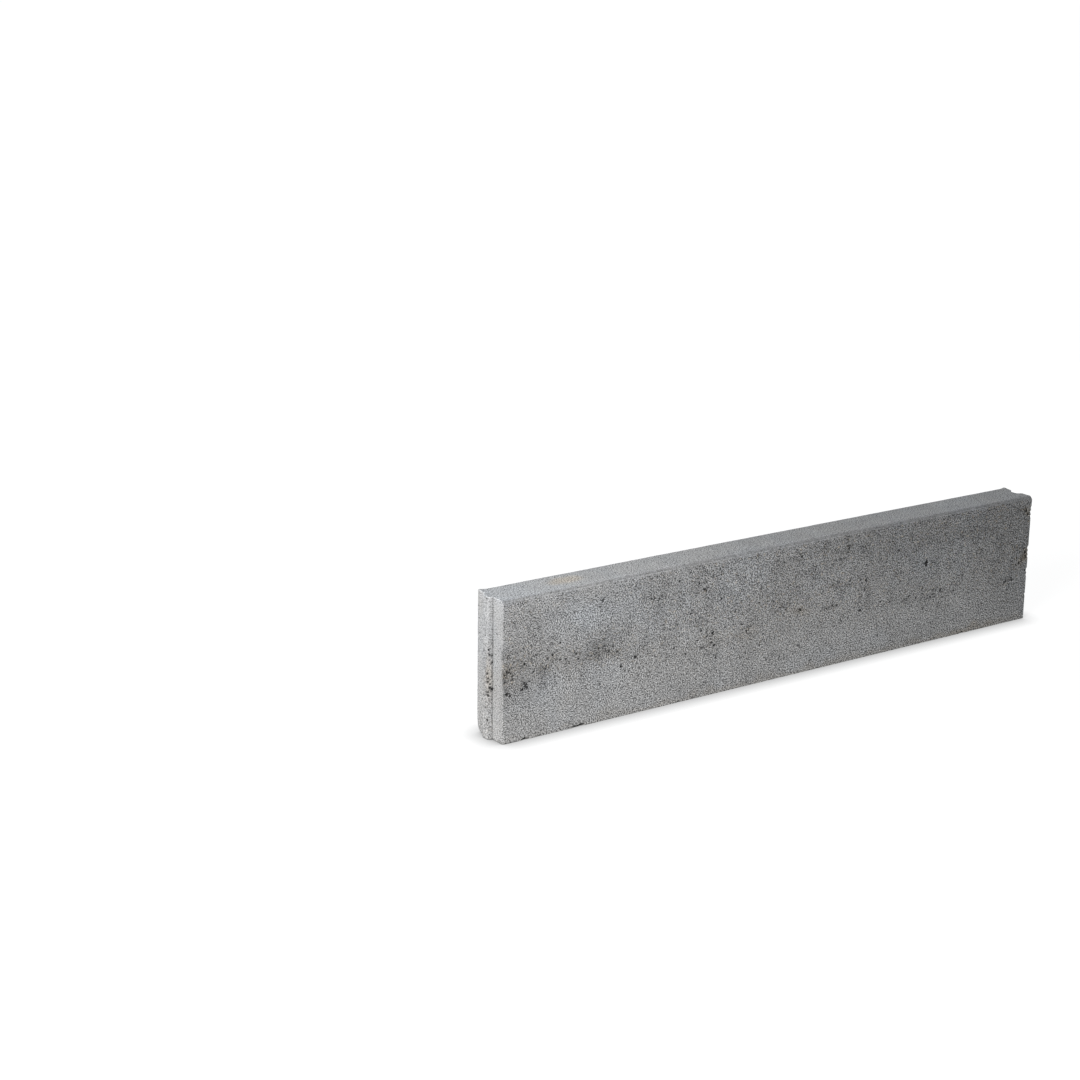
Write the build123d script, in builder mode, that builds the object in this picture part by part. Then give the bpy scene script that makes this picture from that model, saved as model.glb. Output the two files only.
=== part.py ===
"""Precast concrete kerb stone with a tongue on one end and a matching groove on the other.

The stone stands on its narrow bed face, the way it is laid. X runs along the stone from the
tongue end to the groove end, Y from the exposed front face to the back, and Z points up.
The origin is the middle of the bed face, halfway between the end shoulders. Millimetres.
"""

import os

from build123d import *

# Body of the stone, its length taken between the flat end shoulders
length = 1000.0
thickness = 60.0
height = 200.0

# Bevel along the exposed top edge of the front face
front_bevel = 4.5

# Tongue, upright over the whole height of its end
tongue_width = 19.0
tongue_projection = 6.0
flank_angle = 60.0
tip_radius = 3.0
root_radius = 1.5

# Distance of the joint's centre line behind the middle of the thickness
joint_setback = 3.0

# Groove for the tongue of the next stone, with room for mortar dust on every side
joint_clearance = 1.5
groove_width = tongue_width + 2 * joint_clearance
groove_depth = tongue_projection + joint_clearance
floor_radius = tip_radius + joint_clearance
mouth_radius = root_radius + joint_clearance


def joint_section(width, reach, nose_radius):
    """Plan of a tapered key that points along -X from its base on the Y axis."""
    with BuildSketch() as section:
        Trapezoid(width, reach, flank_angle, rotation=90, align=(Align.CENTER, Align.MIN))
        fillet(section.vertices().group_by(Axis.X)[0], nose_radius)
    return section.sketch


with BuildPart() as kerb_stone:
    with BuildSketch() as plan:
        Rectangle(length, thickness)
        with Locations((-length / 2, joint_setback)):
            add(joint_section(tongue_width, tongue_projection, tip_radius))
        with Locations((length / 2, joint_setback)):
            add(joint_section(groove_width, groove_depth, floor_radius), mode=Mode.SUBTRACT)
        # Each end line holds its two outer corners with the two corners of the joint between them
        tongue_roots = plan.vertices().filter_by_position(Axis.X, -length / 2, -length / 2)
        fillet(tongue_roots.sort_by(Axis.Y)[1:-1], root_radius)
        groove_mouth = plan.vertices().group_by(Axis.X)[-1]
        fillet(groove_mouth.sort_by(Axis.Y)[1:-1], mouth_radius)
    extrude(amount=height)

    top_long_edges = kerb_stone.edges().filter_by(Axis.X).group_by(Axis.Z)[-1]
    chamfer(top_long_edges.sort_by(Axis.Y)[0], front_bevel)

kerb_stone.part.label = "kerb_stone"

os.makedirs("parts", exist_ok=True)
export_step(kerb_stone.part, "parts/kerb_stone.step")
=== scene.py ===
"""Looks of a precast concrete kerb stone: a worn, sandy, pitted casting on a pale studio floor.

The frame gives the stone's size, its bevel and its end joint. A close mesh is laid over that shape,
its edges are softened and chipped, its air pits are sunk, and it gets a grainy, stained concrete
finish with some painted shade and highlights. Lengths are metres. Where pits, chips, nicks, stains
and shades have bare numbers, those are millimetres, taken along the stone from the tongue's
shoulder and up from the bed.
"""

import math
from collections import namedtuple

import bmesh
import bpy
import numpy as np
from mathutils import Matrix, Vector, kdtree, noise


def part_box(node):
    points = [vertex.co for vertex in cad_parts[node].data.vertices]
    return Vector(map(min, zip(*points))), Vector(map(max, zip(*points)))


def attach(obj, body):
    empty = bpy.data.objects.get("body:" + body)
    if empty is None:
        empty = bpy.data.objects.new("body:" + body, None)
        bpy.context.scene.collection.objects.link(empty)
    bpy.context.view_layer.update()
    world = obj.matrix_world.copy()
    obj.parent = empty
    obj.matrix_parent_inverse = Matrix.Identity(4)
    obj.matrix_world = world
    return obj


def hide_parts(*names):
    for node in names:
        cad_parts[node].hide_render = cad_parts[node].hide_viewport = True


MM = 0.001

# Mesh over the stone: widest spacing, spacing beside an edge, and spacing across the joint's flanks
MESH_STEP = 3.6 * MM
EDGE_STEP = 0.6 * MM
FLANK_STEP = 0.9 * MM
STEP_GROWTH = 1.4

# Rounds of splitting the mesh finer about each hollow: times its radius, and a margin
REFINE_ROUNDS = ((1.5, 2.2 * MM), (1.25, 0.6 * MM))

# Wear of the edges: softness of a plain edge, how far it varies, and how long each worn stretch is
EDGE_SOFTNESS = 0.30 * MM
SOFTNESS_SWING = 0.8
SOFTNESS_STRETCH = 22 * MM
SOFTNESS_LEAST = 0.12 * MM

# Softer places: the bed edge of the tongue end, and the back corner of that edge
FOOT_SOFTNESS = 1.0 * MM
FOOT_REACH = 9 * MM
CORNER_SOFTNESS = 1.6 * MM
CORNER_REACH = 14 * MM

# Moving the mesh onto the worn surface: share of the way gone in each round, the step that slopes
# are measured over, and the least squared slope that a move is worked out with
SETTLE_SHARES = (0.4, 0.4, 0.5, 0.7, 1, 1)
SLOPE_STEP = 0.01 * MM
LEAST_SQUARED_SLOPE = 0.25

# Relief of the cast faces, as pairs of feature size and height
RELIEF = [(300 * MM, 0.22 * MM), (60 * MM, 0.10 * MM), (15 * MM, 0.05 * MM), (6 * MM, 0.03 * MM)]

# Layers of noise, each different; the relief takes one a pair, from its first on
LAYER_SHIFT = (31.7, 11.3, 5.9)
SOFTNESS_LAYER = 1
RELIEF_LAYER = 2
RAGGED_LAYER = 9
WANDER_ALONG_LAYER = 11
WANDER_UP_LAYER = 12

# Burrs left standing on the back corners of the top: height and reach along the stone, then how far
# they reach to the front and down
TONGUE_BURR = (1.6 * MM, 12 * MM)
GROOVE_BURR = (1.4 * MM, 7 * MM)
BURR_DEPTH = 9 * MM
BURR_ROOT = 6 * MM

# Air pits on the front face: along, up, radius, and then what the radii are multiplied by
FRONT_PITS = [
    (163, 173, 1.7), (165, 175, 1.3), (116, 164, 1.3), (58, 155, 1.0), (67, 152, 1.1),
    (33, 129, 1.3), (35, 107, 1.8), (32, 104, 1.3), (38, 105, 1.2), (18, 113, 1.5),
    (7, 101, 1.9), (11, 104, 1.5), (3, 97, 1.6), (13, 98, 1.3), (4, 88, 1.4),
    (16, 89, 1.4), (7, 70, 2.2), (12, 67, 1.7), (35, 80, 1.9), (39, 74, 1.9),
    (32, 72, 1.7), (36, 76, 1.5), (93, 126, 1.5), (81, 111, 1.8), (84, 113, 1.2),
    (93, 102, 1.4), (103, 99, 1.2), (70, 94, 1.4), (123, 98, 1.6), (146, 98, 1.2),
    (175, 99, 1.5), (189, 96, 1.6), (221, 82, 2.1), (196, 73, 1.8), (210, 64, 1.2),
    (161, 54, 1.2), (289, 82, 1.5), (331, 169, 1.7), (340, 159, 1.9), (343, 158, 1.4),
    (295, 178, 1.4), (251, 160, 1.4), (260, 159, 1.4), (317, 127, 1.5), (372, 140, 1.5),
    (375, 140, 1.2), (337, 99, 1.5), (358, 92, 1.7), (356, 78, 1.7), (361, 73, 1.6),
    (338, 73, 1.3), (310, 69, 1.3), (421, 83, 1.6), (410, 96, 1.3), (381, 97, 1.3),
    (365, 54, 1.3), (486, 33, 1.4), (474, 159, 1.2), (470, 119, 1.4), (482, 108, 1.3),
    (523, 97, 1.9), (520, 99, 1.4), (521, 178, 1.4), (614, 176, 1.7), (610, 170, 1.5),
    (575, 90, 1.5), (570, 90, 1.2), (580, 91, 1.2), (595, 91, 1.6), (584, 124, 1.5),
    (588, 121, 1.2), (651, 120, 1.4), (642, 76, 1.6), (646, 79, 1.2), (684, 82, 1.5),
    (619, 68, 1.3), (716, 157, 1.6), (775, 128, 2.6), (775, 124, 2.2), (776, 132, 1.5),
    (743, 80, 1.6), (758, 75, 1.5), (768, 70, 1.3), (788, 72, 1.8), (794, 75, 1.4),
    (809, 78, 2.1), (813, 76, 1.5), (837, 73, 1.4), (874, 148, 1.5), (872, 147, 1.1),
    (681, 29, 1.6), (989, 178, 2.0), (987, 167, 1.6), (993, 172, 1.8), (993, 110, 2.3),
    (989, 115, 1.6), (995, 103, 1.8), (981, 94, 2.1), (975, 104, 1.6), (996, 80, 1.9),
    (953, 69, 1.7), (950, 66, 1.2), (967, 69, 1.8), (965, 72, 1.3), (960, 68, 1.2),
]
FRONT_PIT_SCALE = 1.12
FRONT_OUTWARD = (0, -1, 0)

# Depth of a pit as a share of its radius: pits up to the first radius have only the shallow part of
# the full share, and from the second radius on they have all of it
PIT_DEPTH_SHARE = 0.75
SHALLOW_PIT = 0.9
FULL_PIT = 1.9
SHALLOW_PART = 0.3

# Patches of honeycombed pits on the front face: along, up, half length, half height, count
PIT_PATCHES = [
    (36, 76, 10, 8, 8), (9, 101, 9, 8, 8), (83, 108, 12, 6, 5), (165, 98, 30, 8, 8),
    (350, 85, 20, 14, 7), (420, 86, 14, 8, 5), (580, 91, 16, 4, 6), (600, 122, 22, 6, 5),
    (650, 80, 20, 8, 6), (750, 78, 26, 11, 6), (800, 76, 20, 9, 6), (960, 70, 12, 5, 6),
    (985, 104, 12, 10, 5), (986, 174, 10, 8, 4), (335, 163, 12, 8, 5), (255, 160, 12, 5, 5),
    (612, 173, 8, 8, 5), (36, 76, 9, 7, 7), (10, 101, 8, 9, 8), (9, 70, 6, 5, 6),
    (84, 110, 14, 8, 5), (160, 102, 34, 10, 5), (120, 98, 14, 8, 3), (470, 112, 34, 18, 5),
    (540, 150, 60, 28, 6), (690, 140, 60, 30, 6), (700, 58, 100, 20, 6), (880, 120, 60, 40, 6),
    (985, 104, 9, 9, 3), (400, 160, 80, 20, 5),
]
PATCH_SEED = 8
PATCH_PIT_RADII = (0.8, 1.7)
PATCH_END_MARGIN = 2 * MM

# Pits on the tongue's front flank and root: distance from the joint's centre line, up, radius
TONGUE_PITS = [
    (-6.4, 138, 1.0), (-9.0, 132, 1.0), (-6.6, 127, 1.6), (-8.0, 124, 0.9), (-6.4, 122, 1.1),
    (-7.4, 120, 1.5), (-8.8, 119, 1.4), (-4.0, 109, 0.9), (-8.4, 107, 1.2), (-6.0, 98, 1.0),
    (-4.8, 94, 1.7), (-8.6, 90, 1.2), (-6.4, 87, 1.4), (-5.8, 82, 1.5), (-7.6, 79, 1.3),
    (-7.8, 74, 1.5), (-9.1, 72, 1.8), (-8.2, 69, 1.2), (-6.4, 68, 1.4), (-2.4, 67, 1.3),
    (-3.6, 64, 1.2), (-6.2, 63, 1.7), (-8.8, 58, 1.0), (-7.2, 50, 0.9), (-7.0, 40, 1.0),
    (0.0, 32, 1.0), (-5.6, 28, 1.6), (-3.0, 197, 1.5),
]
TONGUE_PIT_SCALE = 1.12

# Small pits scattered over every face: seed, count, radii, and the shares of a face they keep to
SCATTER_SEED = 7
SCATTER_COUNT = 150
SCATTER_RADII = (0.8, 1.6)
SCATTER_SHARES = (0.02, 0.98)

# Chips along the front bed edge and up the groove end's front edge: place and radius
BED_CHIPS = [
    (36, 5.0), (119, 4.0), (130, 6.0), (124, 4.0), (60, 3.2), (300, 3.6), (861, 5.0), (560, 3.6),
]
BED_CHIP_OUTWARD = (0, -1, -0.7)
GROOVE_EDGE_CHIPS = [
    (181, 3.2), (175, 4.0), (168, 3.4), (116, 4.4), (109, 3.6), (103, 3.0), (80, 4.8), (72, 3.0),
    (40, 2.4),
]
GROOVE_CHIP_OUTWARD = (1, -0.7, 0)
CHIP_DEPTH_SHARE = 0.55

# Corner broken off at the back of the tongue end's foot: radius and depth of the break
BROKEN_CORNER = (13 * MM, 4.5 * MM)
BROKEN_OUTWARD = (-1, 0.8, -0.6)

# Small nicks scattered along the edges: seed, count, radii, depth as a share of the radius, the
# shares of an edge that they keep to, and the share of them on the long edges
NICK_SEED = 19
NICK_COUNT = 80
NICK_RADII = (0.9, 2.2)
NICK_DEPTH_SHARE = 0.35
NICK_SHARES = (0.01, 0.99)
LONG_EDGE_SHARE = 0.75

# Raggedness of every pit and chip, as a share of its ball up to a largest ball, and its grain
SCOOP_RAGGED = 0.28
RAGGED_BALL = 6 * MM
SCOOP_GRAIN = 1.3 * MM

# Painted shade in hollows, partly dirt in the pits: depth from which a hollow is fully dark, and a
# chip's darkness against a pit's
HOLLOW_SHADE_DEPTH = 0.6 * MM
CHIP_SHADE = 0.38

# Stains and darker and paler patches on the front face, and a painted shadow line under the bevel:
# along, up, half length, half height, darkness, and tint, which is brown above 0 and bluish below
FRONT_STAINS = [
    (151, 108, 32, 18, 0.20, 0.10), (168, 98, 28, 11, 0.17, 0.12), (189, 96, 14, 6, 0.10, 0.10),
    (70, 95, 15, 14, 0.22, 0.10), (84, 111, 8, 5, 0.10, 0.30), (8, 101, 12, 9, 0.18, 0.35),
    (35, 105, 8, 7, 0.12, 0.10), (36, 76, 10, 9, 0.10, 0.00), (103, 100, 14, 8, 0.10, 0.15),
    (123, 98, 10, 8, 0.12, 0.10), (30, 105, 40, 30, 0.10, 0.10), (130, 156, 52, 22, -0.09, -0.35),
    (50, 58, 46, 26, -0.03, -0.22), (255, 165, 40, 18, 0.10, -0.10), (337, 163, 16, 10, 0.10, 0.00),
    (317, 127, 14, 9, 0.10, 0.00), (470, 112, 24, 16, 0.10, 0.10), (360, 80, 26, 16, 0.06, 0.10),
    (421, 84, 22, 10, 0.08, 0.18), (523, 97, 20, 8, 0.11, 0.50), (585, 122, 26, 9, 0.07, 0.10),
    (580, 91, 26, 6, 0.07, 0.05), (612, 173, 12, 12, 0.09, 0.00), (715, 157, 20, 14, 0.07, -0.10),
    (735, 88, 60, 22, 0.05, 0.00), (760, 75, 24, 8, 0.07, 0.00), (800, 75, 20, 7, 0.09, 0.00),
    (852, 165, 26, 12, 0.06, 0.15), (800, 128, 60, 34, 0.00, -0.22), (989, 176, 11, 12, 0.18, 0.60),
    (993, 110, 12, 10, 0.20, 0.80), (978, 98, 14, 12, 0.06, 0.20), (960, 69, 14, 7, 0.08, 0.00),
    (875, 4, 80, 7, 0.09, 0.35), (500, 2, 700, 6, 0.06, 0.20), (125, 4, 14, 5, 0.12, 0.00),
    (990, 185, 260, 80, 0.20, 0.00), (620, 190, 260, 60, 0.12, 0.00),
    (10, 110, 60, 110, 0.12, 0.00), (260, 108, 60, 34, 0.07, 0.00), (150, 88, 40, 8, 0.06, 0.05),
    (370, 140, 45, 24, 0.09, 0.00), (375, 32, 50, 16, -0.08, 0.00), (480, 186, 36, 12, -0.07, 0.00),
    (980, 90, 60, 90, 0.05, 0.00), (120, 100, 170, 140, 0.035, -0.08),
    (990, 70, 110, 80, 0.06, 0.00), (520, 40, 300, 26, -0.05, 0.00), (186, 66, 10, 20, -0.06, 0.00),
    # The first of these is a painted shadow line just under the bevel
    (500, 192.5, 900, 4.5, 0.07, 0.00), (500, 176.5, 900, 6, 0.05, 0.00),
    (70, 178, 60, 7, 0.03, 0.00), (950, 180, 60, 16, 0.04, 0.00),
]

# How far the outlines of stains wander, and the size of the noise that they wander by
STAIN_WANDER = 12 * MM
STAIN_WANDER_SIZE = 22 * MM

# Tint at heights up the stone, which is bluish higher up
UPPER_TINT = ((85, 145), (0.0, -0.14))

# Beige patch on the top face: along, back from the front face, half length, half width, then its
# tint and paleness
TOP_PATCH = (122, 34, 30, 15)
PATCH_TINT = 0.9
PATCH_PALENESS = 0.05

# Darkness of the top at places along it, partly painted light and shade, where below 0 it is pale,
# partly with cement skin; and how bluish it is at the tongue end, as a painted tint of cool fill
# light, and for how far
TOP_SHADE = ((240, 420, 800), (-0.13, 0.0, 0.04))
TOP_PAINTED_COOL_LIGHT = 0.30
TOP_COOL_REACH = 180

# Darkness of the ends at shares of their height
END_SHADE = ((0.72, 1.0), (0.06, -0.03))

# Painted shade on the tongue's front flank and in the corner at its root: distance in front of the
# joint's centre line, half width, darkness
JOINT_SHADE = [(8, 2.2, 0.20), (9.8, 0.7, 0.55)]

# Tan stain on the tongue: distance in front of the centre line, up, half width, half height, tint
JOINT_TAN = (6, 92, 4, 26, 0.4)

# How thickly open pores cluster: at shares of the front's height, how many times more at places
# along it, how much more for a stain's darkness, and on the other faces
PORE_RISE = ((0.1, 0.6), (0.15, 1.0))
PORE_GROWTH = ((200, 450, 1000), (1.0, 1.4, 1.5))
PORES_IN_STAINS = 2
PORES_ELSEWHERE = 0.35

# Strength of the sand grain, which is 1 on the back: on the front at its two ends, on the top, on
# the ends at their foot and top, and the share that is missing on the bevel
FRONT_GRAIN = (1.02, 1.38)
TOP_GRAIN = 0.85
END_GRAIN = (0.68, 0.43)
BEVEL_SMOOTHNESS = 0.6

# How close to a face a point has to be to count as on it, and how far marks fade out from a face
FRONT_SKIN = 1.0 * MM
TOP_SKIN = 0.3 * MM
FRONT_FADE = 3.0 * MM
END_FADE = 1.5 * MM
BEVEL_FADE = 0.5 * MM
ARRIS_FADE = 0.9 * MM

# Finish: albedo of the clean stone, and tints of clean, brown and bluish patches
CONCRETE_ALBEDO = 0.352
CLEAN_TINT = (1.014, 1.0, 0.985, 1)
BROWN_TINT = (1.14, 1.0, 0.82, 1)
COOL_TINT = (0.955, 1.0, 1.055, 1)

# Soft noises of the finish: features a metre, detail, and the two levels that bound what shows
BROAD_CLOUDS = (9, 3, 0.3, 0.7)
SMALL_CLOUDS = (38, 4, 0.3, 0.7)
STREAKS = (1, 2, 0.3, 0.7)
SPECKS = (170, 4, 0.54, 0.70)
CLUSTERS = (55, 3, 0.50, 0.68)
FLECKS = (240, 2, 0.56, 0.72)
COOL_CLOUDS = (17, 2, 0.45, 0.70)

# Streaks run upright, so they have few features a metre up and many along and across
STREAK_STRETCH = (70, 70, 6)

# How far the clouds and streaks swing the brightness either way
BROAD_SWING = 0.07
SMALL_SWING = 0.06
STREAK_SWING = 0.03

# Sand grains over the thickness; the height and half the length hold a whole number of them too,
# so the faces all cut the grain alike. Then the grain's noise levels and swing, the finer dust's
# cells a metre and swing, and the least brightness of both together
GRAINS_ACROSS = 36
GRAIN_LEVELS = (0.2, 0.8)
GRAIN_SWING = 1.15
DUST_PER_METRE = 950
DUST_SWING = 0.22
LEAST_SAND = 0.1

# Open pores, darkened with painted shade: cells a metre, a pore's radius in its cell, and the
# shares of cells that hold a pore where pores don't cluster and where they cluster most
PORES_PER_METRE = 400
PORE_RADIUS = 0.42
PORE_SHARES = (0.03, 0.55)

# Painted highlight line along the bevel near its lower arris: how far down the bevel it lies, and
# half its height
HIGHLIGHT_SHARE = 0.80
HIGHLIGHT_HALF = 1.0 * MM

# What each cover multiplies the brightness by where it is full
SPECK_TONE = 0.74
CLUSTER_TONE = 0.92
# Painted shade in the small open pores
PORE_SHADE_TONE = 0.35
# Painted shade in the pits and chips, partly dirt in the pits
HOLLOW_SHADE_TONE = 0.12
# Paler worn edges, with a painted highlight on them
ARRIS_WEAR_AND_HIGHLIGHT = 1.08
# Painted shade on the bevel, which the key lamp lights more than the top
BEVEL_SHADE_TONE = 0.68
# Painted highlight along the bevel's lower arris
BEVEL_HIGHLIGHT_TONE = 1.42

# Strength of the brown flecks, and the least and most of the bluish clouds
FLECK_STRENGTH = 0.6
COOL_STRENGTHS = (-0.1, 0.25)

# Fine surface: features a metre and detail of its noise, noise levels, roughness, sheen and bump
SURFACE_NOISE = (330, 5)
SURFACE_LEVELS = (0.3, 0.7)
ROUGHNESS = (0.84, 0.96)
SPECULAR_LEVEL = 0.25
BUMP_HEIGHT = 0.3 * MM

# Camera, about the middle of the stone
VIEW_AZIMUTH = math.radians(-35.461)
VIEW_ELEVATION = math.radians(15.957)
VIEW_ROLL = math.radians(0.764)
VIEW_DISTANCE = 3.121
VIEW_SLIDE_LEFT = 0.342
VIEW_LIFT = 0.095
LENS_MM = 71.504
SENSOR_MM = 36.0

# Key lamp, back lamp and fill
LAMP_PLACE = (-1.99, -0.97, 1.24)
LAMP_SIZE = 0.9
LAMP_WATTS = 82.0
BACK_LAMP_PLACE = (1.9, 1.7, 0.25)
BACK_LAMP_SIZE = 0.45
BACK_LAMP_WATTS = 24.0
FILL_COLOUR = (0.86, 0.99, 1.12, 1)
FILL_STRENGTH = 0.15
WHITE = (1, 1, 1, 1)

# Floor: span, bounce for the light, albedo and glow to the eye, distances from the middle between
# which the glow rises to white, and reach of the contact shadow
FLOOR_SPAN = 80.0
FLOOR_BOUNCE = 0.25
FLOOR_ALBEDO = 0.11
FLOOR_GLOW = 0.955
GLOW_NEAR = 0.7
GLOW_FAR = 2.2
CONTACT_REACH = 0.038

# Rows of Shape.depths: the bevel comes after the front, back, bed and top, and the groove end last
BEVEL_ROW = 4
TONGUE_ROW = 5

# A mix node's colour sockets, by number because their names repeat
FIRST_COLOUR = 6
SECOND_COLOUR = 7
MIXED_COLOUR = 2

# A ball that cuts a hollow: its centre and radius, and the hollow's place on the surface and radius
Scoop = namedtuple("Scoop", "centre ball place radius")


class Shape:
    """The stone's plain shape, read from the frame: its box, bevel and end profiles."""

    def __init__(self, node):
        self.low, self.high = (np.array(corner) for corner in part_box(node.name))
        self.span = self.high - self.low
        corners = np.array([vertex.co for vertex in node.data.vertices])
        on_bed = corners[:, 2] < self.low[2] + EDGE_STEP
        on_top = corners[:, 2] > self.high[2] - EDGE_STEP
        self.bevel = corners[on_top, 1].min() - self.low[1]
        self.tongue_line = self.end_line(corners[on_bed & (corners[:, 0] < 0)])
        self.groove_line = self.end_line(corners[on_bed & (corners[:, 0] > 0)])
        self.shoulder = self.tongue_line[1][0]
        self.back_foot = np.array([self.shoulder, self.high[1], self.low[2]])
        keyed = np.abs(self.tongue_line[1] - self.shoulder) > EDGE_STEP
        self.joint_y = self.tongue_line[0][keyed].mean()

    @staticmethod
    def end_line(corners):
        """An end's plan as places across the stone, in order, and the end's X at each."""
        order = np.argsort(corners[:, 1], kind="stable")
        return corners[order, 1], corners[order, 0]

    def tongue_x(self, y):
        """X of the tongue end at each place across the stone."""
        return np.interp(y, *self.tongue_line)

    def groove_x(self, y):
        """X of the groove end at each place across the stone."""
        return np.interp(y, *self.groove_line)

    def end_x(self, side, y):
        """X of the tongue end for a side below 0, or else of the groove end."""
        return self.tongue_x(y) if side < 0 else self.groove_x(y)

    def face_at(self, axis, side):
        """Place of the low face along an axis for a side below 0, or else of the high face."""
        return self.low[axis] if side < 0 else self.high[axis]

    def top_z(self, y):
        """Height of the top at each place across the stone, with the bevel at the front."""
        return np.minimum(self.high[2], self.high[2] - self.bevel + (y - self.low[1]))

    def front_place(self, along, up):
        """Point on the front face, from millimetres along and up."""
        return np.array([self.shoulder + along * MM, self.low[1], self.low[2] + up * MM])

    def along(self, points):
        """Millimetres of each point along the stone from the tongue's shoulder."""
        return (points[:, 0] - self.shoulder) / MM

    def up(self, points):
        """Millimetres of each point up from the bed."""
        return (points[:, 2] - self.low[2]) / MM

    def share_up(self, points):
        """Height of each point as a share of the stone's height."""
        return (points[:, 2] - self.low[2]) / self.span[2]

    def before_joint(self, points):
        """Millimetres of each point in front of the joint's centre line."""
        return (self.joint_y - points[:, 1]) / MM

    def on_front(self, points):
        """Which points are on the front face."""
        return points[:, 1] < self.low[1] + FRONT_SKIN

    def on_top(self, points):
        """Which points are on the top face."""
        return points[:, 2] > self.high[2] - TOP_SKIN

    def depths(self, points):
        """Distance of each point below every face of the plain shape, one row a face."""
        x, y, z = points.T
        front = y - self.low[1]
        top = self.high[2] - z
        return np.array([
            front,
            self.high[1] - y,
            z - self.low[2],
            top,
            (front + top - self.bevel) / math.sqrt(2),
            (x - self.tongue_x(y)) / np.hypot(1, slope_across(self.tongue_x, y)),
            (self.groove_x(y) - x) / np.hypot(1, slope_across(self.groove_x, y)),
        ])


def slope_across(end_x, y):
    """How fast an end's X changes across the stone."""
    return (end_x(y + SLOPE_STEP) - end_x(y - SLOPE_STEP)) / (2 * SLOPE_STEP)


def fade(gap, reach):
    """1 where the gap is nothing, falling smoothly to about a third at the reach and then to 0."""
    return np.exp(-(gap / reach) ** 2)


def ripple(points, size, layer):
    """Smooth noise from about -1 to 1 with features of the given size, different in every layer."""
    shift = Vector(LAYER_SHIFT) * layer
    return np.array([noise.noise(Vector(point) / size + shift) for point in points])


def graded(length):
    """Stations from 0 to length, close together beside both ends."""
    edge = [0.0]
    gap = EDGE_STEP
    while gap < MESH_STEP:
        edge.append(edge[-1] + gap)
        gap *= STEP_GROWTH
    inner = length - 2 * edge[-1]
    middle = np.linspace(edge[-1], length - edge[-1], round(inner / MESH_STEP) + 1)
    return np.concatenate([edge[:-1], middle, length - np.array(edge[-2::-1])])


def across_stations(shape):
    """Stations across the stone, close together beside its faces and over the joint's flanks."""
    stations = shape.low[1] + graded(shape.span[1])
    plan_y, plan_x = shape.groove_line
    flank = (plan_x > plan_x.min() + SLOPE_STEP) & (plan_x < plan_x.max() - SLOPE_STEP)
    for side in (-1, 1):
        reach = plan_y[flank & ((plan_y - shape.joint_y) * side > 0)]
        start = reach.min() - FLANK_STEP
        end = reach.max() + FLANK_STEP
        outside = (stations < start - FLANK_STEP) | (stations > end + FLANK_STEP)
        over_flank = np.linspace(start, end, round((end - start) / FLANK_STEP) + 1)
        stations = np.concatenate([stations[outside], over_flank])
    return np.sort(stations)


def close_mesh(shape):
    """Points and quads of a close mesh over the plain shape."""
    along = graded(shape.span[0])
    along /= along[-1]
    across = across_stations(shape)
    up = graded(shape.span[2])
    up /= up[-1]
    count = (len(along), len(across), len(up))
    outer = np.ones(count, bool)
    outer[1:-1, 1:-1, 1:-1] = False
    index = np.full(count, -1)
    index[outer] = np.arange(outer.sum())
    u, v, w = np.nonzero(outer)
    y = across[v]
    start = shape.tongue_x(y)
    x = start + (shape.groove_x(y) - start) * along[u]
    z = shape.low[2] + (shape.top_z(y) - shape.low[2]) * up[w]
    ends = [index[0, ::-1], index[-1]]
    long_sides = [index[:, 0], index[::-1, -1]]
    bed_and_top = [index[::-1, :, 0], index[:, :, -1]]
    quads = []
    for side in ends + long_sides + bed_and_top:
        ring = [side[:-1, :-1], side[1:, :-1], side[1:, 1:], side[:-1, 1:]]
        quads.append(np.stack(ring, axis=-1).reshape(-1, 4))
    return np.stack([x, y, z], axis=1), np.concatenate(quads)


def scoop(place, outward, radius, depth):
    """Ball that cuts a hollow of that radius and depth into the surface at a place."""
    ball = (radius * radius + depth * depth) / (2 * depth)
    direction = np.array(outward, float)
    direction /= np.linalg.norm(direction)
    return Scoop(np.array(place) + direction * (ball - depth), ball, np.array(place), radius)


def pit(place, outward, radius):
    """An air pit of that radius, in millimetres; the smaller it is, the shallower for its size."""
    share = PIT_DEPTH_SHARE * np.interp(radius, (SHALLOW_PIT, FULL_PIT), (SHALLOW_PART, 1))
    return scoop(place, outward, radius * MM, radius * MM * share)


def front_pits(shape):
    """The pits of the front face, single ones and honeycombed patches."""
    random = np.random.default_rng(PATCH_SEED)
    pits = []
    for along, up, radius in FRONT_PITS:
        pits.append(pit(shape.front_place(along, up), FRONT_OUTWARD, radius * FRONT_PIT_SCALE))
    first_x = shape.shoulder + PATCH_END_MARGIN
    last_x = shape.high[0] - PATCH_END_MARGIN
    for along, up, half_length, half_height, count in PIT_PATCHES:
        for _ in range(count):
            place = shape.front_place(along + random.uniform(-half_length, half_length),
                                      up + random.uniform(-half_height, half_height))
            if first_x < place[0] < last_x:
                pits.append(pit(place, FRONT_OUTWARD, random.uniform(*PATCH_PIT_RADII)))
    return pits


def tongue_pits(shape):
    """The pits along the tongue's front flank."""
    pits = []
    for aside, up, radius in TONGUE_PITS:
        y = shape.joint_y + aside * MM
        rise = shape.tongue_x(y + EDGE_STEP) - shape.tongue_x(y - EDGE_STEP)
        place = (shape.tongue_x(y), y, shape.low[2] + up * MM)
        pits.append(pit(place, (-2 * EDGE_STEP, rise, 0), radius * TONGUE_PIT_SCALE))
    return pits


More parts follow.
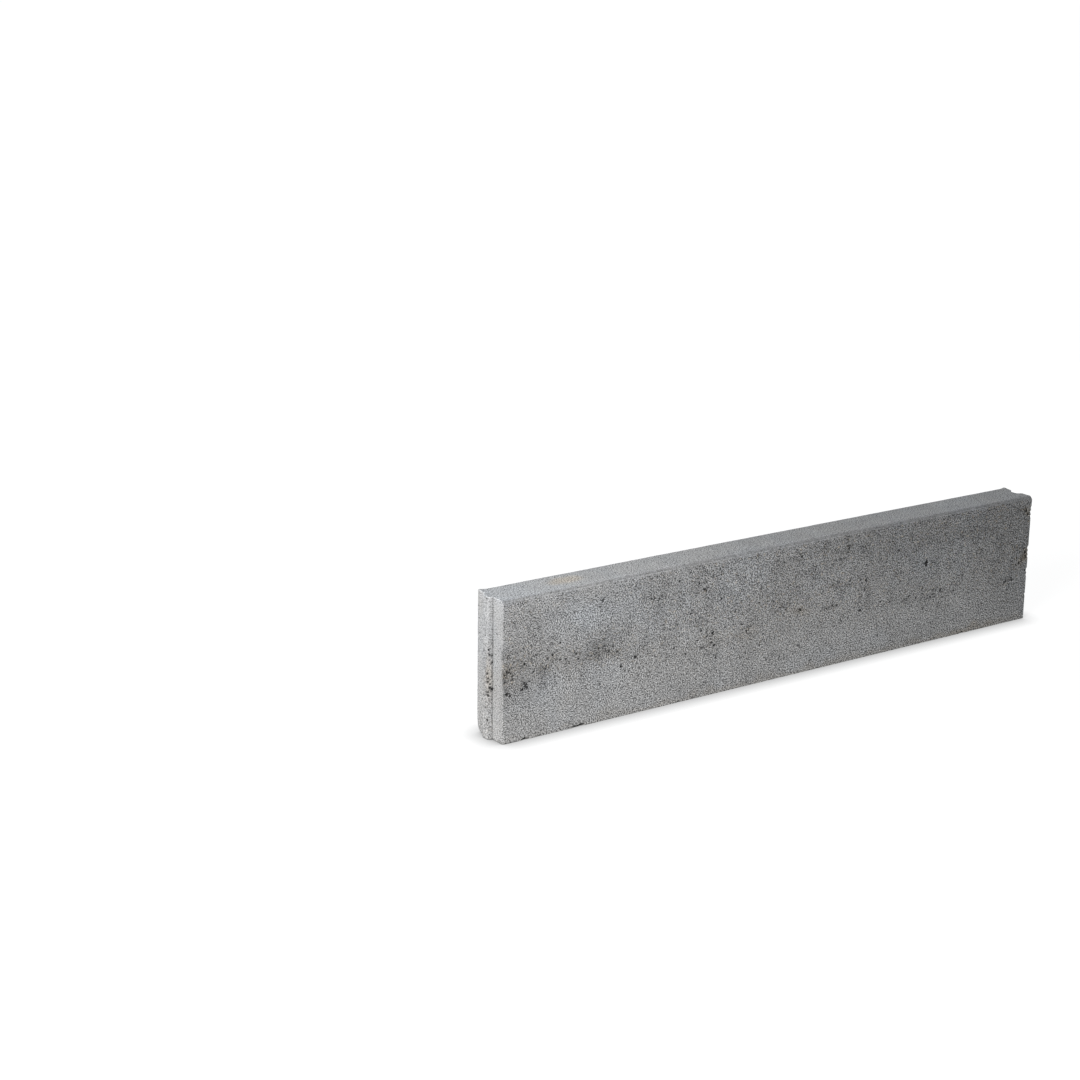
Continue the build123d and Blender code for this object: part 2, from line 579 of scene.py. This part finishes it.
def scattered_pits(shape):
    """Small pits at random over every face, as many on each as its area asks for."""
    random = np.random.default_rng(SCATTER_SEED)
    length, thickness, height = shape.span
    areas = np.array([thickness * height, length * height, length * thickness])
    pits = []
    for _ in range(SCATTER_COUNT):
        axis = random.choice(3, p=areas / areas.sum())
        side = random.choice((-1, 1))
        place = shape.low + shape.span * random.uniform(*SCATTER_SHARES, 3)
        outward = np.zeros(3)
        outward[axis] = side
        place[axis] = shape.end_x(side, place[1]) if axis == 0 else shape.face_at(axis, side)
        pits.append(pit(place, outward, random.uniform(*SCATTER_RADII)))
    return pits


def edge_chips(shape):
    """The chips of the front bed edge and the groove end's front edge, and the broken corner."""
    chips = []
    for along, radius in BED_CHIPS:
        chips.append((shape.front_place(along, 0), BED_CHIP_OUTWARD, radius * MM))
    for up, radius in GROOVE_EDGE_CHIPS:
        place = np.array([shape.high[0], shape.low[1], shape.low[2] + up * MM])
        chips.append((place, GROOVE_CHIP_OUTWARD, radius * MM))
    scoops = [scoop(place, out, radius, radius * CHIP_DEPTH_SHARE) for place, out, radius in chips]
    return scoops + [scoop(shape.back_foot, BROKEN_OUTWARD, *BROKEN_CORNER)]


def edge_nicks(shape):
    """Small nicks at random along the long edges and the upright edges."""
    random = np.random.default_rng(NICK_SEED)
    nicks = []
    for _ in range(NICK_COUNT):
        place = shape.low + shape.span * random.uniform(*NICK_SHARES, 3)
        front, top, end = random.choice((-1, 1), 3)
        place[1] = shape.face_at(1, front)
        if random.uniform() < LONG_EDGE_SHARE:
            place[2] = shape.low[2] if top < 0 else shape.top_z(place[1])
            outward = (0, front, top)
        else:
            place[0] = shape.end_x(end, place[1])
            outward = (end, front, 0)
        radius = random.uniform(*NICK_RADII) * MM
        nicks.append(scoop(place, outward, radius, radius * NICK_DEPTH_SHARE))
    return nicks


def plain_mesh(shape):
    """The close mesh over the plain shape, ready for editing."""
    points, quads = close_mesh(shape)
    start = bpy.data.meshes.new("plain_stone")
    start.from_pydata(points.tolist(), [], quads.tolist())
    mesh = bmesh.new()
    mesh.from_mesh(start)
    bpy.data.meshes.remove(start)
    return mesh


def refine(mesh, scoops):
    """Split the mesh finer around every hollow, in rounds that close in on it."""
    for times, margin in REFINE_ROUNDS:
        mesh.verts.ensure_lookup_table()
        tree = kdtree.KDTree(len(mesh.verts))
        for vertex in mesh.verts:
            tree.insert(vertex.co, vertex.index)
        tree.balance()
        near = np.zeros(len(mesh.verts), bool)
        for hollow in scoops:
            reach = hollow.radius * times + margin
            for _, number, _ in tree.find_range(Vector(hollow.place), reach):
                near[number] = True
        edges = [edge for edge in mesh.edges if all(near[end.index] for end in edge.verts)]
        bmesh.ops.subdivide_edges(mesh, edges=edges, cuts=1, use_grid_fill=True)
        mesh.verts.index_update()


def softness(shape, points):
    """How softly the edges are worn at each point."""
    swing = 1 + SOFTNESS_SWING * ripple(points, SOFTNESS_STRETCH, SOFTNESS_LAYER)
    soft = np.maximum(EDGE_SOFTNESS * swing, SOFTNESS_LEAST)
    foot_gap = np.hypot(points[:, 0] - shape.shoulder, points[:, 2] - shape.low[2])
    soft += FOOT_SOFTNESS * fade(foot_gap, FOOT_REACH)
    corner_gap = np.linalg.norm(points - shape.back_foot, axis=1)
    return soft + CORNER_SOFTNESS * fade(corner_gap, CORNER_REACH)


def burrs(shape, points):
    """How far the burrs lift each point on the back corners of the top."""
    x, y, z = points.T
    back = fade(shape.high[1] - y, BURR_DEPTH)
    back *= np.clip(1 - (shape.high[2] - z) / BURR_ROOT, 0, 1)
    lift = np.zeros(len(points))
    for end, (rise, reach) in ((shape.shoulder, TONGUE_BURR), (shape.high[0], GROOVE_BURR)):
        lift += rise * np.clip(1 - np.abs(x - end) / reach, 0, 1) * back
    return lift


def worn_depth(shape, places, soft, sunk):
    """Depth of each place below the worn surface, whose edges are soft and whose faces are sunk."""
    depths = shape.depths(places)
    return -soft * np.log(np.exp(-depths / soft).sum(axis=0)) - sunk


def settle(shape, points):
    """Move the plain shape's points onto the worn surface, with soft edges and gentle relief."""
    soft = softness(shape, points)
    sunk = np.zeros(len(points))
    for layer, (size, height) in enumerate(RELIEF, RELIEF_LAYER):
        sunk += height * ripple(points, size, layer)
    settled = points.copy()
    for share in SETTLE_SHARES:
        depth = worn_depth(shape, settled, soft, sunk)
        slope = np.empty_like(settled)
        for axis in range(3):
            shifted = settled.copy()
            shifted[:, axis] += SLOPE_STEP
            slope[:, axis] = (worn_depth(shape, shifted, soft, sunk) - depth) / SLOPE_STEP
        squared_slope = np.maximum((slope ** 2).sum(axis=1), LEAST_SQUARED_SLOPE)
        settled -= slope * (share * depth / squared_slope)[:, None]
    settled[:, 2] += burrs(shape, points)
    return settled


def hollow_out(points, scoops):
    """Push the points in a hollow's ball out to its ragged wall; returns how far each one went."""
    before = points.copy()
    ragged = SCOOP_RAGGED * ripple(points, SCOOP_GRAIN, RAGGED_LAYER)
    for hollow in scoops:
        away = points - hollow.centre
        gap = np.linalg.norm(away, axis=1)
        wall = hollow.ball + min(hollow.ball, RAGGED_BALL) * ragged
        inside = gap < wall
        points[inside] = hollow.centre + away[inside] * (wall[inside] / gap[inside])[:, None]
    return np.linalg.norm(points - before, axis=1)


def worn_mesh(mesh, places):
    """Mesh data with the points at those places and no face of more than four corners."""
    for vertex, place in zip(mesh.verts, places):
        vertex.co = place
    bmesh.ops.triangulate(mesh, faces=[face for face in mesh.faces if len(face.verts) > 4])
    finished = bpy.data.meshes.new("worn_kerb_stone")
    mesh.to_mesh(finished)
    mesh.free()
    finished.polygons.foreach_set("use_smooth", np.ones(len(finished.polygons), bool))
    return finished


def stains(shape, points):
    """Darkness and tint at each point: front stains and the top, partly painted light and shade."""
    wander = STAIN_WANDER / MM
    along = shape.along(points) + wander * ripple(points, STAIN_WANDER_SIZE, WANDER_ALONG_LAYER)
    up = shape.up(points) + wander * ripple(points, STAIN_WANDER_SIZE, WANDER_UP_LAYER)
    behind = points[:, 1] - shape.low[1]
    on_front = fade(behind, FRONT_FADE)
    darkness = np.zeros(len(points))
    tint = np.interp(up, *UPPER_TINT)
    for place, height, half_length, half_height, dark, brown in FRONT_STAINS:
        cover = fade(along - place, half_length) * fade(up - height, half_height) * on_front
        darkness += dark * cover
        tint += brown * cover
    place, back, half_length, half_width = TOP_PATCH
    gap = ((along - place) / half_length) ** 2 + ((behind / MM - back) / half_width) ** 2
    patch = fade(gap, 1)
    # The bluish tint of the top at the tongue end is painted cool light
    coolness = TOP_PAINTED_COOL_LIGHT * fade(along, TOP_COOL_REACH)
    on_top = shape.on_top(points)
    # The top's darkness along it is partly painted light and shade
    darkness += (np.interp(along, *TOP_SHADE) - PATCH_PALENESS * patch) * on_top
    tint += (PATCH_TINT * patch - coolness) * on_top
    return darkness, tint


def mottle(shape, points, darkness):
    """How thickly the open pores cluster.

    On the front they thin out towards the bed, and thicken in dark stains and to the groove end.
    """
    front = np.interp(shape.share_up(points), *PORE_RISE)
    front += PORES_IN_STAINS * np.maximum(darkness, 0)
    front *= np.interp(shape.along(points), *PORE_GROWTH)
    return np.where(shape.on_front(points), front, PORES_ELSEWHERE)


def bevel_cover(shape, points):
    """1 on the bevel and 0 away from it."""
    return fade(shape.depths(points)[BEVEL_ROW], BEVEL_FADE)


def tongue_cover(shape, points):
    """1 on the tongue end and 0 away from it."""
    return fade(shape.depths(points)[TONGUE_ROW], END_FADE)


def end_cover(shape, points):
    """1 on the two ends and 0 away from them."""
    return fade(shape.depths(points)[TONGUE_ROW:].min(axis=0), END_FADE)


def grain_strength(shape, points):
    """How strong the sand grain is.

    It grows along the front, and it is weaker on the top, on the bevel and on the smooth ends,
    where it weakens with height.
    """
    along_front = np.interp(points[:, 0], (shape.shoulder, shape.high[0]), FRONT_GRAIN)
    face = np.where(shape.on_top(points), TOP_GRAIN, 1.0)
    face = np.where(shape.on_front(points), along_front, face)
    face *= 1 - BEVEL_SMOOTHNESS * bevel_cover(shape, points)
    up_end = np.interp(shape.share_up(points), (0, 1), END_GRAIN)
    cover = end_cover(shape, points)
    return face * (1 - cover) + up_end * cover


def end_shade(shape, points):
    """Darkness of the two ends, which are paler towards the top."""
    return np.interp(shape.share_up(points), *END_SHADE) * end_cover(shape, points)


def joint_shade(shape, points):
    """Painted shade along the tongue's front flank and in the corner at its root."""
    before = shape.before_joint(points)
    flank_shade = sum(dark * fade(before - place, half_width) for place, half_width, dark in JOINT_SHADE)
    return flank_shade * tongue_cover(shape, points)


def joint_tan(shape, points):
    """Tan staining of the tongue's pitted stretch."""
    place, height, half_width, half_height, brown = JOINT_TAN
    across = fade(shape.before_joint(points) - place, half_width)
    upright = fade(shape.up(points) - height, half_height)
    return brown * across * upright * tongue_cover(shape, points)


def finish_marks(shape, points, hollow):
    """The marks that the finish reads at each point, by name."""
    darkness, tint = stains(shape, points)
    second_depth = np.sort(shape.depths(points), axis=0)[1]
    return {
        # Painted shade in the hollows, partly dirt in the pits
        "hollow": np.clip(hollow / HOLLOW_SHADE_DEPTH, 0, 1),
        "arris": fade(second_depth, ARRIS_FADE),
        "grain": grain_strength(shape, points),
        "mottle": mottle(shape, points, darkness),
        "bevel": bevel_cover(shape, points),
        # Darkness holds the stains, the top's painted light and shade, the ends' shade, and painted
        # shade on the tongue's flank and root
        "darkness": darkness + joint_shade(shape, points) + end_shade(shape, points),
        "tint": tint + joint_tan(shape, points),
    }


def make_stone(shape):
    """The stone with its detailed mesh, and its marks as attributes for the finish."""
    pits = front_pits(shape) + tongue_pits(shape) + scattered_pits(shape)
    chips = edge_chips(shape) + edge_nicks(shape)
    mesh = plain_mesh(shape)
    refine(mesh, pits + chips)
    plain = np.array([vertex.co for vertex in mesh.verts])
    worn = settle(shape, plain)
    # The pits and chips get painted shade by their depth, the chips less of it
    hollow = CHIP_SHADE * hollow_out(worn, chips) + hollow_out(worn, pits)
    worn[:, 2] = np.maximum(worn[:, 2], shape.low[2])
    finished = worn_mesh(mesh, worn)
    for name, values in finish_marks(shape, plain, hollow).items():
        attribute = finished.attributes.new(name, "FLOAT", "POINT")
        attribute.data.foreach_set("value", values.astype(np.float32))
    stone = bpy.data.objects.new("worn_kerb_stone", finished)
    bpy.context.scene.collection.objects.link(stone)
    return stone


def add_node(tree, kind, inputs, **settings):
    """Add a node with its settings; an input is a value or a socket to link."""
    made = tree.nodes.new(kind)
    for name, value in settings.items():
        setattr(made, name, value)
    for name, value in inputs.items():
        if isinstance(value, bpy.types.NodeSocket):
            tree.links.new(value, made.inputs[name])
        else:
            made.inputs[name].default_value = value
    return made


def blend(tree, operation, first, second):
    """Result of a sum, product or other calculation on two values."""
    return add_node(tree, "ShaderNodeMath", {0: first, 1: second}, operation=operation).outputs[0]


def spread(tree, value, low, high, least, most):
    """A value's range from low to high, stretched to least to most."""
    inputs = {"Value": value, "From Min": low, "From Max": high, "To Min": least, "To Max": most}
    return add_node(tree, "ShaderNodeMapRange", inputs).outputs["Result"]


def clouds(tree, place, per_metre, detail):
    """Soft noise, about 0.3 to 0.7."""
    inputs = {"Vector": place, "Scale": per_metre, "Detail": detail}
    return add_node(tree, "ShaderNodeTexNoise", inputs).outputs["Fac"]


def patches(tree, place, soft_noise, least, most):
    """One of the finish's soft noises, from least at its lower level to most at its upper one."""
    per_metre, detail, low, high = soft_noise
    return spread(tree, clouds(tree, place, per_metre, detail), low, high, least, most)


def swinging(tree, place, soft_noise, swing):
    """One of the finish's soft noises as a factor that swings about 1."""
    return patches(tree, place, soft_noise, 1 - swing, 1 + swing)


def cells(tree, place, per_metre):
    """Random cells: distance from the nearest one's middle, and its random colour channels."""
    made = add_node(tree, "ShaderNodeTexVoronoi", {"Vector": place, "Scale": per_metre})
    colour = add_node(tree, "ShaderNodeSeparateColor", {"Color": made.outputs["Color"]})
    return made.outputs["Distance"], colour.outputs


def mark(tree, name):
    """One of the mesh's marks as a value."""
    return add_node(tree, "ShaderNodeAttribute", {}, attribute_name=name).outputs["Fac"]


def mix_colours(tree, share, first, second):
    """The first colour, turned to the second by that share."""
    inputs = {"Factor": share, FIRST_COLOUR: first, SECOND_COLOUR: second}
    return add_node(tree, "ShaderNodeMix", inputs, data_type="RGBA").outputs[MIXED_COLOUR]


def sand(tree, place, shape):
    """Brightness of the single sand grains and the finer dust."""
    _, dust = cells(tree, place, DUST_PER_METRE)
    dust_tone = spread(tree, dust["Red"], 0, 1, -DUST_SWING, DUST_SWING)
    grains = clouds(tree, place, GRAINS_ACROSS / shape.span[1], 0)
    grain_tone = spread(tree, grains, *GRAIN_LEVELS, -GRAIN_SWING, GRAIN_SWING)
    swing = blend(tree, "ADD", dust_tone, grain_tone)
    swing = blend(tree, "MULTIPLY", swing, mark(tree, "grain"))
    return blend(tree, "MAXIMUM", blend(tree, "ADD", swing, 1), LEAST_SAND)


def open_pores(tree, place, cluster):
    """1 in the small open pores, which get painted shade, and of which there are more where they
    cluster.
    """
    distance, pick = cells(tree, place, PORES_PER_METRE)
    share = spread(tree, cluster, 0, 1, *PORE_SHARES)
    in_pore = blend(tree, "LESS_THAN", distance, PORE_RADIUS)
    return blend(tree, "MULTIPLY", in_pore, blend(tree, "LESS_THAN", pick["Green"], share))


def bevel_highlight(tree, place, shape):
    """1 along the middle of the painted highlight line on the bevel."""
    height = add_node(tree, "ShaderNodeSeparateXYZ", {"Vector": place}).outputs["Z"]
    gap = blend(tree, "SUBTRACT", height, shape.high[2] - HIGHLIGHT_SHARE * shape.bevel)
    highlight_line = spread(tree, blend(tree, "ABSOLUTE", gap, 0), 0, HIGHLIGHT_HALF, 1, 0)
    return blend(tree, "MULTIPLY", highlight_line, mark(tree, "bevel"))


def brightness(tree, place, shape):
    """Brightness of the concrete, which is about 1 where it is clean, with painted shade and
    highlights.
    """
    stretch = {"Vector": place, "Scale": STREAK_STRETCH}
    stretched = add_node(tree, "ShaderNodeMapping", stretch).outputs["Vector"]
    pore_mark = mark(tree, "mottle")
    speck = blend(tree, "MULTIPLY", patches(tree, place, SPECKS, 0, 1), pore_mark)
    cluster = blend(tree, "MULTIPLY", patches(tree, place, CLUSTERS, 0, 1), pore_mark)
    covers = (
        (speck, SPECK_TONE),
        (cluster, CLUSTER_TONE),
        (open_pores(tree, place, cluster), PORE_SHADE_TONE),
        (mark(tree, "hollow"), HOLLOW_SHADE_TONE),
        (mark(tree, "arris"), ARRIS_WEAR_AND_HIGHLIGHT),
        # Painted shade on the bevel
        (mark(tree, "bevel"), BEVEL_SHADE_TONE),
        # Painted highlight line on the bevel
        (bevel_highlight(tree, place, shape), BEVEL_HIGHLIGHT_TONE),
    )
    factors = [
        swinging(tree, place, SMALL_CLOUDS, SMALL_SWING),
        swinging(tree, stretched, STREAKS, STREAK_SWING),
        sand(tree, place, shape),
        *(spread(tree, cover, 0, 1, 1, tone) for cover, tone in covers),
        blend(tree, "SUBTRACT", 1, mark(tree, "darkness")),
    ]
    shade = swinging(tree, place, BROAD_CLOUDS, BROAD_SWING)
    for factor in factors:
        shade = blend(tree, "MULTIPLY", shade, factor)
    return shade


def tinting(tree, place):
    """Tint of the concrete: bluish in cool clouds, and brown in stains and flecks."""
    stain = mark(tree, "tint")
    flecks = patches(tree, place, FLECKS, 0, FLECK_STRENGTH)
    flecks = blend(tree, "MULTIPLY", flecks, mark(tree, "mottle"))
    cool = blend(tree, "SUBTRACT", patches(tree, place, COOL_CLOUDS, *COOL_STRENGTHS), stain)
    brown = blend(tree, "ADD", stain, flecks)
    return mix_colours(tree, brown, mix_colours(tree, cool, CLEAN_TINT, COOL_TINT), BROWN_TINT)


def concrete(shape):
    """Fair-faced grey concrete: clouds, sand, specks, streaks, stains, paler worn edges, painted
    shade and highlights.
    """
    material = bpy.data.materials.new("fair_faced_concrete")
    material.use_nodes = True
    tree = material.node_tree
    shader = tree.nodes["Principled BSDF"]
    place = add_node(tree, "ShaderNodeTexCoord", {}).outputs["Object"]
    albedo = blend(tree, "MULTIPLY", brightness(tree, place, shape), CONCRETE_ALBEDO)
    colour = {0: tinting(tree, place), "Scale": albedo}
    tinted = add_node(tree, "ShaderNodeVectorMath", colour, operation="SCALE")
    surface = clouds(tree, place, *SURFACE_NOISE)
    roughness = spread(tree, surface, *SURFACE_LEVELS, *ROUGHNESS)
    relief = {"Height": surface, "Strength": mark(tree, "grain"), "Distance": BUMP_HEIGHT}
    bump = add_node(tree, "ShaderNodeBump", relief)
    tree.links.new(tinted.outputs[0], shader.inputs["Base Color"])
    tree.links.new(roughness, shader.inputs["Roughness"])
    tree.links.new(bump.outputs["Normal"], shader.inputs["Normal"])
    shader.inputs["Specular IOR Level"].default_value = SPECULAR_LEVEL
    return material


def shown_or_lighting(tree, shown, lighting):
    """One shader for rays that show the surface to the eye, another for rays that only light."""
    path = add_node(tree, "ShaderNodeLightPath", {}).outputs
    seen = blend(tree, "MAXIMUM", path["Is Camera Ray"], path["Is Glossy Ray"])
    seen = blend(tree, "MAXIMUM", seen, path["Is Transmission Ray"])
    inputs = {0: seen, 1: lighting.outputs[0], 2: shown.outputs[0]}
    return add_node(tree, "ShaderNodeMixShader", inputs).outputs[0]


def grey(level):
    """A grey as a shader colour."""
    return (level, level, level, 1)


def pale_floor():
    """Floor finish: white to the eye with a soft shadow, and a dull bounce for the light."""
    material = bpy.data.materials.new("pale_floor")
    material.use_nodes = True
    tree = material.node_tree
    tree.nodes.clear()
    place = add_node(tree, "ShaderNodeTexCoord", {}).outputs["Object"]
    distance = add_node(tree, "ShaderNodeVectorMath", {0: place}, operation="LENGTH")
    glow = spread(tree, distance.outputs["Value"], GLOW_NEAR, GLOW_FAR, FLOOR_GLOW, 1)
    contact = add_node(tree, "ShaderNodeAmbientOcclusion", {"Distance": CONTACT_REACH})
    glow = blend(tree, "MULTIPLY", glow, contact.outputs["AO"])
    white = add_node(tree, "ShaderNodeBsdfDiffuse", {"Color": grey(FLOOR_ALBEDO)})
    light = add_node(tree, "ShaderNodeEmission", {"Strength": glow})
    shown = add_node(tree, "ShaderNodeAddShader", {0: white.outputs[0], 1: light.outputs[0]})
    dull = add_node(tree, "ShaderNodeBsdfDiffuse", {"Color": grey(FLOOR_BOUNCE)})
    surface = shown_or_lighting(tree, shown, dull)
    add_node(tree, "ShaderNodeOutputMaterial", {"Surface": surface})
    return material


def make_floor(level):
    """A wide plain floor under the stone."""
    half = FLOOR_SPAN / 2
    outline = [(-half, -half), (half, -half), (half, half), (-half, half)]
    mesh = bpy.data.meshes.new("floor")
    mesh.from_pydata([(x, y, level) for x, y in outline], [], [(0, 1, 2, 3)])
    mesh.materials.append(pale_floor())
    floor = bpy.data.objects.new("floor", mesh)
    bpy.context.scene.collection.objects.link(floor)
    return floor


def add_lamp(name, place, size, watts, target):
    """A round soft lamp that points at the target."""
    light = bpy.data.lights.new(name, "AREA")
    light.shape = "DISK"
    light.size = size
    light.energy = watts
    lamp = bpy.data.objects.new(name, light)
    lamp.location = place
    lamp.rotation_euler = (target - lamp.location).to_track_quat("-Z", "Y").to_euler()
    bpy.context.scene.collection.objects.link(lamp)


def light_studio(target):
    """A large soft lamp at the tongue end, a weak low one behind, and a cool fill all round."""
    add_lamp("key_lamp", LAMP_PLACE, LAMP_SIZE, LAMP_WATTS, target)
    add_lamp("back_lamp", BACK_LAMP_PLACE, BACK_LAMP_SIZE, BACK_LAMP_WATTS, target)
    world = bpy.data.worlds.new("studio")
    world.use_nodes = True
    tree = world.node_tree
    tree.nodes.clear()
    cool_fill = {"Color": FILL_COLOUR, "Strength": FILL_STRENGTH}
    fill = add_node(tree, "ShaderNodeBackground", cool_fill)
    white = add_node(tree, "ShaderNodeBackground", {"Color": WHITE, "Strength": 1})
    surface = shown_or_lighting(tree, white, fill)
    add_node(tree, "ShaderNodeOutputWorld", {"Surface": surface})
    bpy.context.scene.world = world


def place_camera(target):
    """Camera at the photograph's viewing angle, with the stone to the right of the middle."""
    back = Vector((math.sin(VIEW_AZIMUTH) * math.cos(VIEW_ELEVATION),
                   -math.cos(VIEW_AZIMUTH) * math.cos(VIEW_ELEVATION),
                   math.sin(VIEW_ELEVATION)))
    level = Vector((math.cos(VIEW_AZIMUTH), math.sin(VIEW_AZIMUTH), 0))
    upright = back.cross(level)
    right = math.cos(VIEW_ROLL) * level + math.sin(VIEW_ROLL) * upright
    up = back.cross(right)
    eye = target + back * VIEW_DISTANCE - right * VIEW_SLIDE_LEFT + up * VIEW_LIFT
    lens = bpy.data.cameras.new("camera")
    lens.lens = LENS_MM
    lens.sensor_width = SENSOR_MM
    camera = bpy.data.objects.new("camera", lens)
    camera.matrix_world = Matrix((right, up, back)).transposed().to_4x4()
    camera.location = eye
    bpy.context.scene.collection.objects.link(camera)
    bpy.context.scene.camera = camera


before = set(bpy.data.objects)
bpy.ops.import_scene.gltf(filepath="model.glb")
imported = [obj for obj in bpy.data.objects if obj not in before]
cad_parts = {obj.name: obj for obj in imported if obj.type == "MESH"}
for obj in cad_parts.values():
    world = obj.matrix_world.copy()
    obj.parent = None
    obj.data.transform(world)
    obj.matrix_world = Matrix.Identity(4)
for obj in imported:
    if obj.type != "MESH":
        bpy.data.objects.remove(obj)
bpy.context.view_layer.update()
low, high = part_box("kerb_stone")
middle = Vector((0, (low.y + high.y) / 2, (low.z + high.z) / 2))

shape = Shape(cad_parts["kerb_stone"])
stone = make_stone(shape)
stone.data.materials.append(concrete(shape))
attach(stone, "root")
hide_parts("kerb_stone")

make_floor(low.z)
light_studio(middle)
place_camera(middle)
bpy.context.scene.view_settings.view_transform = "Standard"
